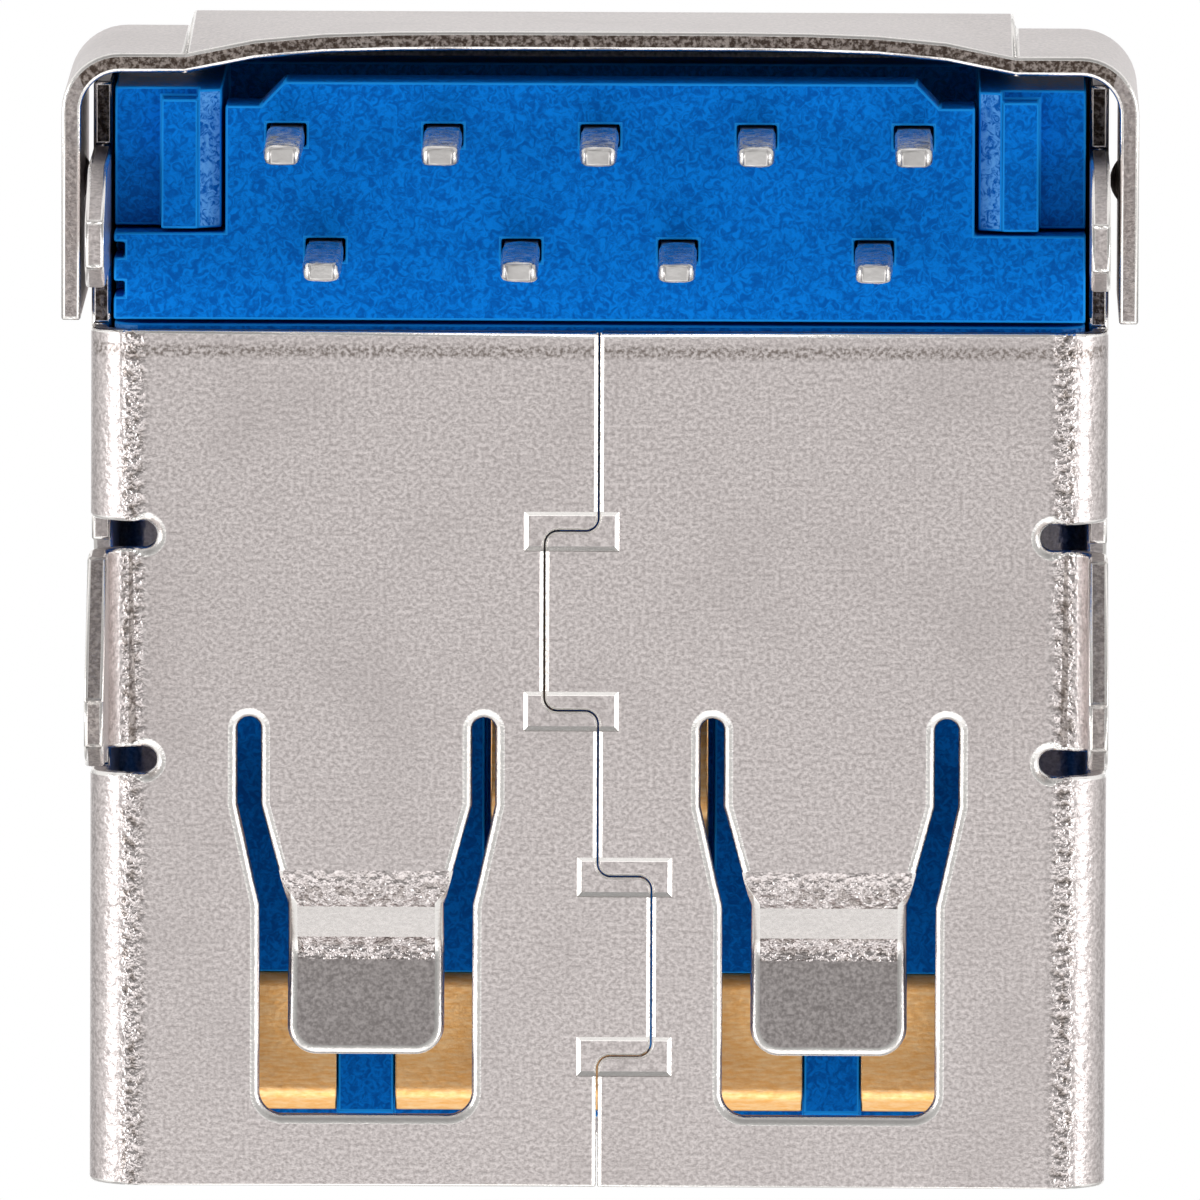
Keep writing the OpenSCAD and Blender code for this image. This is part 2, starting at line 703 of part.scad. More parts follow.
shell();
insulator();
tail_plate();
power_contact();
data_minus_contact();
data_plus_contact();
ground_contact();
receive_minus_contact();
receive_plus_contact();
drain_contact();
send_minus_contact();
send_plus_contact();
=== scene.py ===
# %% [markdown]
# # A USB-A socket, seen from the side that is soldered to the board
#
# The socket is a folded metal shell around blue plastic, with nine contacts whose tails come
# out at the back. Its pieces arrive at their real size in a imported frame, so nothing here is
# moved or resized. This lesson gives them rounded edges, plated and moulded finishes, and a
# light tent like the one that such a small shiny thing is photographed in.

# %% Load the frame
import math

import bmesh
import bpy
from mathutils import Matrix, Vector


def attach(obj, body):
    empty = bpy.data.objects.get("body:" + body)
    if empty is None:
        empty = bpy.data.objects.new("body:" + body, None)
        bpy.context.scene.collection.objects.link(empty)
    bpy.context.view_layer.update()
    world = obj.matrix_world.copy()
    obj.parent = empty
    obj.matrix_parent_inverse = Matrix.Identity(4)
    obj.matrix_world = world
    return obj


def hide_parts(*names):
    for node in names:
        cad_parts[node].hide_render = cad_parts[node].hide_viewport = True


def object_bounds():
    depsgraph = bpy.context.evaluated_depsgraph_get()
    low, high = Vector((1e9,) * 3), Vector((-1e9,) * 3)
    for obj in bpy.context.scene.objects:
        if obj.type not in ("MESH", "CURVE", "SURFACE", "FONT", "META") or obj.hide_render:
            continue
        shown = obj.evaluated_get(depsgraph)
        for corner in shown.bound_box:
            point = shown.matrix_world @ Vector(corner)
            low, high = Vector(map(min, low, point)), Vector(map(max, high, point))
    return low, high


MM = 0.001
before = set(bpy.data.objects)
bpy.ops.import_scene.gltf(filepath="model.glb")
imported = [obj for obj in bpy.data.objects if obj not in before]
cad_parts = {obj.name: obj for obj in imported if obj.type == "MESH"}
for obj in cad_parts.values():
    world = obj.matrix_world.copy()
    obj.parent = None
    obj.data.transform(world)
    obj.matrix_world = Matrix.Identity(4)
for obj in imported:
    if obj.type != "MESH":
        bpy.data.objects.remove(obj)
cad_low, cad_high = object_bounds()
scene = bpy.context.scene
scene.view_settings.view_transform = "Standard"
print("pieces in the frame:", ", ".join(sorted(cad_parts)))

# %% [markdown]
# ## The camera
#
# The picture looks at the floor of the shell almost squarely, from far away through a long
# lens. The camera leans a few degrees towards the back, which is why the rear faces of the
# tails and the outside of the rear flap can be seen. Up in the picture is towards the back,
# so the camera's own axes are written down instead of aimed with a constraint.

# %% Camera
PICTURE_PX = 1200
PX_PER_MM = 78.3
SENSOR = 36
VIEW_DISTANCE = 400 * MM
VIEW_LEAN = math.radians(6)
VIEW_SIDE = math.radians(0.5)
VIEW_ROLL = math.radians(0.2)
LOOK_AT = Vector((-0.02, 0.635, 0)) * MM

picture_width = PICTURE_PX / PX_PER_MM * MM
camera_data = bpy.data.cameras.new("camera")
camera_data.sensor_width = SENSOR
camera_data.lens = SENSOR * VIEW_DISTANCE / picture_width
camera_data.clip_start = 10 * MM
camera = bpy.data.objects.new("camera", camera_data)
scene.collection.objects.link(camera)
back = Vector((-math.sin(VIEW_SIDE), math.sin(VIEW_LEAN), -math.cos(VIEW_LEAN))).normalized()
rearwards = Vector((0, 1, 0))
up = (rearwards - back * rearwards.dot(back)).normalized()
right = up.cross(back)
turn = Matrix((right, up, back)).transposed().to_4x4()
roll = Matrix.Rotation(VIEW_ROLL, 4, "Z")
camera.matrix_world = Matrix.Translation(LOOK_AT + back * VIEW_DISTANCE) @ turn @ roll
scene.camera = camera
print(f"camera: {camera_data.lens:.0f} mm lens, {VIEW_DISTANCE / MM:.0f} mm away")

# %% [markdown]
# ## The light tent
#
# Metal shows what is around it. In a tent of white cloth the bends of the shell catch the
# bright sides, and faces that lean back show the greyer opening that the lens looks through.
# The world holds that change as a ramp on the angle from the middle of the opening. Rays
# straight from the camera see plain white.


# %% World
def new_node(tree, kind, place, **settings):
    """Adds a node and sets its properties, or its inputs where the name is an input's."""
    node = tree.nodes.new(kind)
    node.location = place
    for name, value in settings.items():
        if hasattr(node, name):
            setattr(node, name, value)
        else:
            node.inputs[name.replace("_", " ")].default_value = value
    return node


OPENING_LEAN = math.radians(36)
OPENING = (0, math.sin(OPENING_LEAN), -math.cos(OPENING_LEAN))
# Degrees from the middle of the opening, and how bright the cloth is there.
TENT = {180: 0.5, 140: 0.52, 126: 0.58, 108: 0.95, 68: 1.0, 51: 0.56, 32: 0.52, 16: 0.35, 0: 0.31}

world = bpy.data.worlds.new("light_tent")
scene.world = world
world.use_nodes = True
tent = world.node_tree
tent.nodes.clear()
direction = new_node(tent, "ShaderNodeTexCoord", (-900, 0))
towards = new_node(tent, "ShaderNodeVectorMath", (-700, 0), operation="DOT_PRODUCT")
towards.inputs[1].default_value = OPENING
share = new_node(tent, "ShaderNodeMapRange", (-500, 0), From_Min=-1.0, From_Max=1.0)
cloth = new_node(tent, "ShaderNodeValToRGB", (-300, 0))
cloth.color_ramp.interpolation = "EASE"
stops = cloth.color_ramp.elements
stops.remove(stops[1])
for angle, bright in TENT.items():
    along = (1 + math.cos(math.radians(angle))) / 2
    stop = stops[0] if angle == 180 else stops.new(along)
    stop.color = (bright, bright, bright, 1)
rays = new_node(tent, "ShaderNodeLightPath", (-300, 350))
lit = new_node(tent, "ShaderNodeBackground", (0, 0))
seen = new_node(tent, "ShaderNodeBackground", (0, -150), Color=(1, 1, 1, 1))
choice = new_node(tent, "ShaderNodeMixShader", (250, 0))
output = new_node(tent, "ShaderNodeOutputWorld", (450, 0))
for start, end in (
    (direction.outputs["Generated"], towards.inputs[0]),
    (towards.outputs["Value"], share.inputs["Value"]),
    (share.outputs[0], cloth.inputs["Fac"]),
    (cloth.outputs["Color"], lit.inputs["Color"]),
    (rays.outputs["Is Camera Ray"], choice.inputs[0]),
    (lit.outputs[0], choice.inputs[1]),
    (seen.outputs[0], choice.inputs[2]),
    (choice.outputs[0], output.inputs["Surface"]),
):
    tent.links.new(start, end)
print("world: a tent with", len(stops), "tones")

# %% [markdown]
# ## The lamps
#
# Behind the cloth of such a tent stand soft lamps, which lift the plastic more than the metal.
# Four weak discs do the same here. They could be small and strong, but then each would show in
# the metal as a spot, so they are wide and far away.

# %% Lamps
# Where each disc stands and how wide it is, in millimetres, and its power in watts.
LAMPS = {
    "mouth_side_lamp": ((0, -270, -450), 450, 0.45),
    "left_lamp": ((150, 10, -90), 90, 0.08),
    "right_lamp": ((-150, 10, -90), 90, 0.07),
    "overhead_lamp": ((0, -40, 160), 200, 0.06),
}
for name, (place, size, watts) in LAMPS.items():
    lamp_data = bpy.data.lights.new(name, "AREA")
    lamp_data.shape = "DISK"
    lamp_data.size = size * MM
    lamp_data.energy = watts
    lamp = bpy.data.objects.new(name, lamp_data)
    lamp.location = Vector(place) * MM
    lamp.rotation_euler = (-lamp.location).to_track_quat("-Z", "Y").to_euler()
    scene.collection.objects.link(lamp)
print("lamps:", ", ".join(LAMPS))

# %% [markdown]
# ## The floor
#
# From above, the socket stands on its legs on a pale floor that takes its shadow. From below
# that floor would hide it. So its material is see-through from its back, and to every ray
# that doesn't come from the camera.

# %% Floor
FLOOR_HALF = 1500 * MM
PAPER_GREY = (0.86, 0.86, 0.86, 1)

floor_mesh = bpy.data.meshes.new("floor")
signs = ((-1, -1), (1, -1), (1, 1), (-1, 1))
corners = [(x * FLOOR_HALF, y * FLOOR_HALF, cad_low[2]) for x, y in signs]
floor_mesh.from_pydata(corners, [], [(0, 1, 2, 3)])
floor = bpy.data.objects.new("floor", floor_mesh)
scene.collection.objects.link(floor)
floor.visible_shadow = False

paper = bpy.data.materials.new("floor_paper")
paper.use_nodes = True
tree = paper.node_tree
tree.nodes.clear()
face = new_node(tree, "ShaderNodeNewGeometry", (-600, 200))
rays = new_node(tree, "ShaderNodeLightPath", (-600, -100))
front = new_node(tree, "ShaderNodeMath", (-400, 200), operation="SUBTRACT")
front.inputs[0].default_value = 1
shown = new_node(tree, "ShaderNodeMath", (-200, 100), operation="MULTIPLY")
clear = new_node(tree, "ShaderNodeBsdfTransparent", (-200, -100))
white = new_node(tree, "ShaderNodeBsdfDiffuse", (-200, -250), Color=PAPER_GREY)
mix = new_node(tree, "ShaderNodeMixShader", (50, 0))
output = new_node(tree, "ShaderNodeOutputMaterial", (250, 0))
for start, end in (
    (face.outputs["Backfacing"], front.inputs[1]),
    (front.outputs[0], shown.inputs[0]),
    (rays.outputs["Is Camera Ray"], shown.inputs[1]),
    (shown.outputs[0], mix.inputs[0]),
    (clear.outputs[0], mix.inputs[1]),
    (white.outputs[0], mix.inputs[2]),
    (mix.outputs[0], output.inputs["Surface"]),
):
    tree.links.new(start, end)
floor_mesh.materials.append(paper)
print(f"floor at {cad_low[2] / MM:.2f} mm, under the tips of the tails")

# %% [markdown]
# ## Shared effects
#
# Plated metal and moulded plastic both have a skin: a fine grain that scatters light and a
# slow change of tone. One node group makes that skin, and each material sets its own sizes.
# The group works in millimetres, so a scale of 20 means twenty grains to the millimetre.


# %% Node group for a fine skin
def new_group(name, inputs, outputs):
    """A shader node group with float inputs, given as name and default, and float outputs."""
    group = bpy.data.node_groups.new(name, "ShaderNodeTree")
    for label, default in inputs:
        socket = group.interface.new_socket(label, in_out="INPUT", socket_type="NodeSocketFloat")
        socket.default_value = default
    for label in outputs:
        group.interface.new_socket(label, in_out="OUTPUT", socket_type="NodeSocketFloat")
    start = new_node(group, "NodeGroupInput", (-1200, 0))
    return group, start, new_node(group, "NodeGroupOutput", (600, 0))


def mm_coordinates(tree, place):
    """Object coordinates in millimetres."""
    x, y = place
    coords = new_node(tree, "ShaderNodeTexCoord", (x, y))
    scale = new_node(tree, "ShaderNodeVectorMath", (x + 180, y), operation="SCALE", Scale=1 / MM)
    tree.links.new(coords.outputs["Object"], scale.inputs[0])
    return scale.outputs[0]


def noise_at(tree, vector, place, detail, rough, scale=1.0, **sources):
    """A noise texture. Its inputs may also be taken from other sockets, given by name."""
    noise = new_node(tree, "ShaderNodeTexNoise", place, Detail=detail, Roughness=rough, Scale=scale)
    tree.links.new(vector, noise.inputs["Vector"])
    for name, socket in sources.items():
        tree.links.new(socket, noise.inputs[name])
    return noise.outputs[0]


skin, skin_in, skin_out = new_group(
    "fine_skin", [("Grain Scale", 20.0), ("Swirl", 0.0), ("Tone Scale", 0.7)], ["Grain", "Tone"]
)
where = mm_coordinates(skin, (-1000, -200))
fine, swirl, slow = (skin_in.outputs[name] for name in ("Grain Scale", "Swirl", "Tone Scale"))
grain = noise_at(skin, where, (-500, 100), 4.0, 0.6, Scale=fine, Distortion=swirl)
tone = noise_at(skin, where, (-500, -200), 3.0, 0.5, Scale=slow)
skin.links.new(grain, skin_out.inputs["Grain"])
skin.links.new(tone, skin_out.inputs["Tone"])
print("group:", skin.name, "gives a grain and a tone")


# %% Helpers for materials
# The span that holds nearly all values of a noise texture, and a span that is turned around.
NOISE_SPAN = (0.3, 0.7)
FALLING = (1.0, 0.0)


def new_material(name):
    """A material with one Principled BSDF, and the BSDF's node."""
    material = bpy.data.materials.new(name)
    material.use_nodes = True
    shader = material.node_tree.nodes["Principled BSDF"]
    shader.location = (300, 0)
    material.node_tree.nodes["Material Output"].location = (600, 0)
    return material, material.node_tree, shader


def add_skin(tree, grain_scale, tone_scale, swirl=0.0):
    """Places the skin group in a material."""
    node = new_node(tree, "ShaderNodeGroup", (-900, 0), node_tree=skin)
    node.inputs["Grain Scale"].default_value = grain_scale
    node.inputs["Swirl"].default_value = swirl
    node.inputs["Tone Scale"].default_value = tone_scale
    return node


def remap(tree, value, place, span, result=(0.0, 1.0)):
    """A smooth step that turns one span of a value into another."""
    node = new_node(tree, "ShaderNodeMapRange", place, interpolation_type="SMOOTHSTEP")
    for name, bound in zip(("From Min", "From Max", "To Min", "To Max"), (*span, *result)):
        node.inputs[name].default_value = bound
    tree.links.new(value, node.inputs["Value"])
    return node.outputs[0]


def math_of(tree, operation, place, a, b):
    """A Math node on two sockets or numbers."""
    node = new_node(tree, "ShaderNodeMath", place, operation=operation)
    for slot, value in zip(node.inputs, (a, b)):
        if isinstance(value, (int, float)):
            slot.default_value = value
        else:
            tree.links.new(value, slot)
    return node.outputs[0]


def product(tree, place, value, *factors):
    """A value multiplied by several sockets or numbers, one after the other."""
    x, y = place
    for step, factor in enumerate(factors):
        value = math_of(tree, "MULTIPLY", (x + 150 * step, y), value, factor)
    return value


def mix_colors(tree, share, place, first, second):
    """A colour between two colours, each one written down or taken from a socket."""
    node = new_node(tree, "ShaderNodeMix", place, data_type="RGBA")
    tree.links.new(share, node.inputs[0])
    for slot, value in ((node.inputs[6], first), (node.inputs[7], second)):
        if isinstance(value, tuple):
            slot.default_value = (*value, 1)
        else:
            tree.links.new(value, slot)
    return node.outputs[2]


def mask(tree, name, place):
    """One of the mesh's own marks, from 0 to 1."""
    return new_node(tree, "ShaderNodeAttribute", place, attribute_name=name).outputs["Fac"]


def bump(tree, shader, height, place, distance_mm):
    """Bump whose height is given in millimetres at a value of 1."""
    node = new_node(tree, "ShaderNodeBump", place, Strength=1.0, Distance=distance_mm * MM)
    tree.links.new(height, node.inputs["Height"])
    tree.links.new(node.outputs[0], shader.inputs["Normal"])


# %% [markdown]
# ## Satin nickel
#
# The shell is a copper alloy sheet with a dull nickel plating. On the flats the grain is very
# fine. Where the sheet was bent, and where the floor runs into the side bends, the tool has left
# the skin dented and pitted. Where a hole's edge has a roll-over, and on the slopes of the
# fingers, the metal is polished, and a paler nickel there is a painted highlight. The edges of
# the flap and legs were cut by shearing after plating: brownish, torn and rough. The same dark
# torn colour also lies on the side walls' lower edges behind the floor, as painted shade. A brown
# stain runs along the floor's rear edge.
#
# All of this could be painted by hand. Here, marks on the mesh say where most of it is, because
# they follow the sheet's own faces: one for bends, one for polish with its painted highlight, and
# one for torn edges with the painted shade. The dents beside the side bends and the stain fade
# into the flat, so they go by the object's own x, y and z.

# %% Shell material
NICKEL_DARK = (0.45, 0.405, 0.395)
NICKEL_LIGHT = (0.75, 0.69, 0.675)
NICKEL_HIGHLIGHT = (0.88, 0.85, 0.82)
TORN_AND_SHADE_DARK = (0.07, 0.05, 0.04)
TORN_AND_SHADE_LIGHT = (0.36, 0.31, 0.28)
PIT_BROWN = (0.15, 0.12, 0.10)
# Where the dents, the stain and the floor begin and end, in millimetres.
DENTS_BEGIN, DENTS_END = (5.70, 5.96), (6.02, 6.16)
STAIN_BEGIN, STAIN_END = (3.70, 3.78), (3.84, 3.94)
LOW_END = (0.3, 0.5)
BEHIND_FLOOR = 4.1
FLOOR_FADE = (BEHIND_FLOOR, BEHIND_FLOOR + 0.1)
# Grains, changes of tone, dents and tears to the millimetre, and the noise that shows as each.
PLATING_GRAIN = 20.0
PLATING_TONE = 0.5
DENT_SCALE = 9.0
TORN_SCALE = 14.0
SMUDGE_SPAN = (0.45, 0.75)
PIT_SPAN = (0.36, 0.5)
STAIN_SPAN = (0.36, 0.6)
TORN_SPAN = (0.42, 0.62)
# How strongly each shows. The grain is measured in millimetres, and dents and tears in grains.
DENT_SHARE = 0.75
SMUDGE = 0.3
BEND_PITS = 0.5
STAIN_SHARES = (0.75, 0.1)
GRAIN_HEIGHT = 0.004
DENT_HEIGHT = 24.0
TORN_HEIGHT = 8.0
PLATING_ROUGH = (0.30, 0.40)
POLISH = 0.14
TORN_ROUGH = 0.2

nickel, tree, shader = new_material("satin_nickel")
shader.inputs["Metallic"].default_value = 1.0
plating = add_skin(tree, PLATING_GRAIN, PLATING_TONE)
grain, tone = plating.outputs["Grain"], plating.outputs["Tone"]
where = mm_coordinates(tree, (-2300, 0))
print("material:", nickel.name)

# %% Where the shell is dented, stained, polished and torn, and where highlight and shade are painted
axes = new_node(tree, "ShaderNodeSeparateXYZ", (-1900, 900))
tree.links.new(where, axes.inputs[0])
side = math_of(tree, "ABSOLUTE", (-1700, 1100), axes.outputs["X"], 0.0)
in_front = remap(tree, axes.outputs["Y"], (-1700, 900), FLOOR_FADE, FALLING)
low_down = remap(tree, axes.outputs["Z"], (-1700, 650), LOW_END, FALLING)

beside = remap(tree, side, (-1500, 1400), DENTS_BEGIN)
past = remap(tree, side, (-1500, 1150), DENTS_END, (DENT_SHARE, 0.0))
dented = product(tree, (-1300, 1300), beside, past, in_front, low_down)
near_edge = remap(tree, axes.outputs["Y"], (-1500, 900), STAIN_BEGIN)
cleaner = remap(tree, axes.outputs["Y"], (-1500, 650), STAIN_END, FALLING)
stained = product(tree, (-1300, 800), near_edge, cleaner, low_down)

bent = math_of(tree, "MAXIMUM", (-800, 1100), mask(tree, "bent", (-1100, 1000)), dented)
highlit = mask(tree, "highlit", (-1100, 800))
torn_and_shade = mask(tree, "torn_and_painted_light", (-1100, 600))
dents = noise_at(tree, where, (-1300, -400), 2.0, 0.5, scale=DENT_SCALE)
torn = noise_at(tree, where, (-1300, -700), 4.0, 0.7, scale=TORN_SCALE)
print("marks of", nickel.name, "go by the mesh and by the object's x, y and z")

# %% Colour of the shell
speckle = remap(tree, grain, (-600, 300), NOISE_SPAN)
color = mix_colors(tree, speckle, (-400, 300), NICKEL_DARK, NICKEL_LIGHT)
smudge = remap(tree, tone, (-600, 550), SMUDGE_SPAN, (0.0, SMUDGE))
color = mix_colors(tree, smudge, (-250, 550), color, NICKEL_DARK)
bend_pits = product(tree, (-750, 900), bent, BEND_PITS)
pitted = math_of(tree, "MAXIMUM", (-600, 1000), dented, bend_pits)
pits = remap(tree, dents, (-600, 800), PIT_SPAN, FALLING)
pits = product(tree, (-400, 850), pits, pitted)
color = mix_colors(tree, pits, (-100, 800), color, PIT_BROWN)
stain = remap(tree, grain, (-600, 1250), STAIN_SPAN, STAIN_SHARES)
stain = product(tree, (-400, 1250), stain, stained)
color = mix_colors(tree, stain, (50, 1050), color, PIT_BROWN)
# Rounded edges and the fingers' slopes get a paler nickel: a painted highlight.
color = mix_colors(tree, highlit, (50, 800), color, NICKEL_HIGHLIGHT)
torn_share = remap(tree, torn, (-600, -750), TORN_SPAN)
torn_and_shade_color = mix_colors(tree, torn_share, (-400, -750), TORN_AND_SHADE_DARK, TORN_AND_SHADE_LIGHT)
# Torn edges get a varied dark brown; on the side walls' lower edges behind the floor this dark
# colour is also painted shade.
color = mix_colors(tree, torn_and_shade, (50, 550), color, torn_and_shade_color)
tree.links.new(color, shader.inputs["Base Color"])
print("colour of", nickel.name, "done")

# %% Roughness and bump of the shell
rough = remap(tree, grain, (-600, 0), NOISE_SPAN, PLATING_ROUGH)
smooth = math_of(tree, "MAXIMUM", (-600, -250), highlit, bent)
polish = product(tree, (-400, -250), smooth, POLISH)
rough = math_of(tree, "SUBTRACT", (-250, 0), rough, polish)
rough = math_of(tree, "ADD", (-100, 0), rough, product(tree, (-250, -200), torn_and_shade, TORN_ROUGH))
tree.links.new(rough, shader.inputs["Roughness"])
height = product(tree, (-600, -500), dents, bent, DENT_HEIGHT)
height = math_of(tree, "ADD", (-250, -450), height, grain)
torn_height = product(tree, (-250, -650), torn, torn_and_shade, TORN_HEIGHT)
height = math_of(tree, "ADD", (50, -450), height, torn_height)
bump(tree, shader, height, (150, -250), GRAIN_HEIGHT)
print("roughness and bump of", nickel.name, "done")

# %% [markdown]
# ## Rounded edges
#
# The frame's solids have knife-sharp edges. Stamping rolls the edge of a sheet over, and a
# mould has small radii. A Bevel modifier stumbles on long thin triangles like these, so the
# rounding is built here, one point at a time. Around each point, the faces between two sharp edges
# form a sector.
# Each sector gets its own copy of the point, drawn back from the edge by the rounding's width,
# and a curved strip with the old point as its control closes the gap. The width may differ
# between the two faces of an edge, because a stamped edge is rolled wider than it is deep. The
# copy also keeps the way its sector faces, so that flat metal is shaded flat up to its edge. An
# edge that was pressed flat gets a straight strip, a chamfer, which faces one way all along.


# %% Sectors around a point
def sectors_at(vert, sharp):
    """Groups the faces around a point that are joined by edges that aren't sharp."""
    left = list(vert.link_faces)
    while left:
        group = [left.pop()]
        for polygon in group:
            for edge in polygon.edges:
                if vert in edge.verts and edge not in sharp:
                    group += [other for other in edge.link_faces if other in left]
                    left = [other for other in left if other not in group]
        yield group


def inwards(vert, edge, polygon):
    """Direction in a face's plane, square to one of its edges and away from it."""
    along = (edge.other_vert(vert).co - vert.co).normalized()
    across = polygon.normal.cross(along)
    return across if across.dot(polygon.calc_center_median() - vert.co) > 0 else -across


NEARLY_STRAIGHT = 0.9
NEARLY_FOLDED = -0.7


def setback(vert, group, sharp, width_of):
    """How far a sector's point is drawn back, so that it clears both its sharp edges."""
    sides = [(e, f) for f in group for e in f.edges if vert in e.verts and e in sharp]
    if len(sides) != 2 or sides[0][0] is sides[1][0]:
        return Vector()
    first, second = (inwards(vert, edge, polygon) for edge, polygon in sides)
    near, far = (width_of(edge, polygon) * MM for edge, polygon in sides)
    turn = first.dot(second)
    if turn > NEARLY_STRAIGHT:
        return (first + second) * (near + far) / 2 / (1 + turn)
    turn = max(turn, NEARLY_FOLDED)
    return (first * (near - far * turn) + second * (far - near * turn)) / (1 - turn * turn)


# %% Flat patches
FLAT_TURN = 0.005


def flat_patches(work):
    """For each face, the area and the width of the flat patch that it is part of."""
    patches = {}
    for first in work.faces:
        if first in patches:
            continue
        patch = [first]
        patches[first] = None
        for polygon in patch:
            for edge in polygon.edges:
                if edge.calc_face_angle(1) < FLAT_TURN:
                    joined = [other for other in edge.link_faces if other not in patches]
                    patch += joined
                    patches.update(dict.fromkeys(joined))
        area = sum(polygon.calc_area() for polygon in patch)
        length = max(edge.calc_length() for polygon in patch for edge in polygon.edges)
        patches.update({polygon: (area, area / length) for polygon in patch})
    return patches


# %% Strips and corners
# The steps between a strip's two sides, and how far the old point pulls the strip out.
HALF_ROUND = ((1 / 2,), 1.0)
ROUND = ((1 / 3, 2 / 3), 1.0)
CHAMFER = ((0.1, 0.9), 0.0)


def slope_facing(start, end, facing):
    """The way a chamfer faces, between the ways of the two faces that it joins."""
    slope = end.co - start.co
    flat, wall = start[facing], end[facing]
    square = flat * slope.dot(wall) - wall * slope.dot(flat)
    return square.normalized() * (1 if square.dot(flat + wall) > 0 else -1)


def curved_row(out, rows, vert, start, end, shape):
    """The points from one sector's copy of a point to the next one's, on a curve or a chamfer."""
    if start is end:
        return [start]
    if (vert, start, end) not in rows:
        steps, pull = shape
        facing = out.verts.layers.float_vector["facing"]
        control = ((start.co + end.co) / 2).lerp(vert.co, pull)
        row = [start]
        for t in steps:
            curve = start.co * (1 - t) ** 2 + control * 2 * t * (1 - t) + end.co * t * t
            row.append(out.verts.new(curve))
            if not pull:
                row[-1][facing] = slope_facing(start, end, facing)
        row.append(end)
        rows[vert, start, end] = row
        rows[vert, end, start] = row[::-1]
    return rows[vert, start, end]


def fill_strip(out, first, second):
    """Faces between two rows of points, one of which may be a single point."""
    longest = max(len(first), len(second))
    for i in range(longest - 1):
        ends = ((first, i), (first, i + 1), (second, i + 1), (second, i))
        ring = list(dict.fromkeys(row[min(k, len(row) - 1)] for row, k in ends))
        if len(ring) > 2:
            yield out.faces.new(ring)


def corner_ring(vert, sharp, copies, out, rows, shape_of):
    """The ring of points left open where three or more sectors meet."""
    joins = {e: [copies[vert, f] for f in e.link_faces] for e in vert.link_edges if e in sharp}
    corners = [point for pair in joins.values() for point in pair]
    if len(set(corners)) < 3:
        return []
    ring, here = [], corners[0]
    while joins:
        edge = next((e for e, pair in joins.items() if here in pair), None)
        if edge is None:
            return []
        pair = joins.pop(edge)
        there = pair[1] if pair[0] is here else pair[0]
        ring += curved_row(out, rows, vert, here, there, shape_of(edge))[:-1]
        here = there
    return ring


# %% Rounding a whole piece
BEND_FACET = 0.15
SHARP_TURN = math.radians(30)


def plain_marks(polygon, narrow):
    """How bent a face is, and how polished with a painted highlight, where only narrow faces count
    as bent.
    """
    return narrow, 0.0


def half_round(edge):
    """The shape of a small plain rounding."""
    return HALF_ROUND


def round_edges(work, width_of, marks_of=plain_marks, shape_of=half_round):
    """A copy of a closed mesh whose sharp edges are rounded, and how many there were."""
    closed = (edge for edge in work.edges if len(edge.link_faces) == 2)
    turning = [edge for edge in closed if edge.calc_face_angle(0) > SHARP_TURN]
    # The longest edges come first, because the first edge shapes the points that it shares.
    sharp = dict.fromkeys(sorted(turning, key=lambda edge: -edge.calc_length()))
    out = bmesh.new()
    torn_and_painted_light = work.faces.layers.float["torn_and_painted_light"]
    torn_and_painted_light_out = out.faces.layers.float.new("torn_and_painted_light")
    highlit_out = out.faces.layers.float.new("highlit")
    bent_out = out.faces.layers.float.new("bent")
    facing = out.verts.layers.float_vector.new("facing")
    patches = flat_patches(work)
    copies, rows = {}, {}
    for vert in work.verts:
        for group in sectors_at(vert, sharp):
            copy = out.verts.new(vert.co + setback(vert, group, sharp, width_of))
            copy[facing] = sum((f.normal * patches[f][0] for f in group), Vector()).normalized()
            copies.update({(vert, polygon): copy for polygon in group})
    for polygon in work.faces:
        made = out.faces.new([copies[vert, polygon] for vert in polygon.verts])
        made[torn_and_painted_light_out] = polygon[torn_and_painted_light]
        narrow = float(patches[polygon][1] < BEND_FACET * MM)
        made[bent_out], made[highlit_out] = marks_of(polygon, narrow)
    # Rounded strips and corners get the highlight mark, for polish and a painted highlight.
    for edge in sharp:
        strip = []
        for vert in edge.verts:
            start, end = (copies[vert, polygon] for polygon in edge.link_faces)
            strip.append(curved_row(out, rows, vert, start, end, shape_of(edge)))
        for made in fill_strip(out, *strip):
            made[highlit_out] = 1.0
            made[torn_and_painted_light_out] = min(f[torn_and_painted_light] for f in edge.link_faces)
    for vert in work.verts:
        ring = corner_ring(vert, sharp, copies, out, rows, shape_of)
        if ring:
            middle = out.verts.new(sum((point.co for point in ring), Vector()) / len(ring))
            for i, point in enumerate(ring):
                out.faces.new([middle, point, ring[(i + 1) % len(ring)]])[highlit_out] = 1.0
    bmesh.ops.recalc_face_normals(out, faces=out.faces)
    work.free()
    return out, len(sharp)


# %% [markdown]
# ## Dressed copies
#
# Each piece of the real socket shows its own bare surface, so a copy with rounded edges takes its
# place. The rounding could be a modifier on the frame's own mesh, but a modifier can't tell a
# stamped edge from a cut one. The copy's loose triangles are merged first, and at the end its
# points are kept inside the frame's box and shaded by the way they face.


# %% Dressed copies of the pieces
SAME_POINT = 1e-7


def merged_copy(node, torn_and_painted_light_of=None):
    """The mesh of a frame piece with its loose triangles merged and a mark on its faces for torn
    edges, painted shade and painted sheen.
    """
    work = bmesh.new()
    work.from_mesh(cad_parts[node].data)
    bmesh.ops.remove_doubles(work, verts=work.verts, dist=SAME_POINT)
    torn_and_painted_light = work.faces.layers.float.new("torn_and_painted_light")
    for polygon in work.faces:
        polygon[torn_and_painted_light] = torn_and_painted_light_of(polygon) if torn_and_painted_light_of else 0.0
    return work


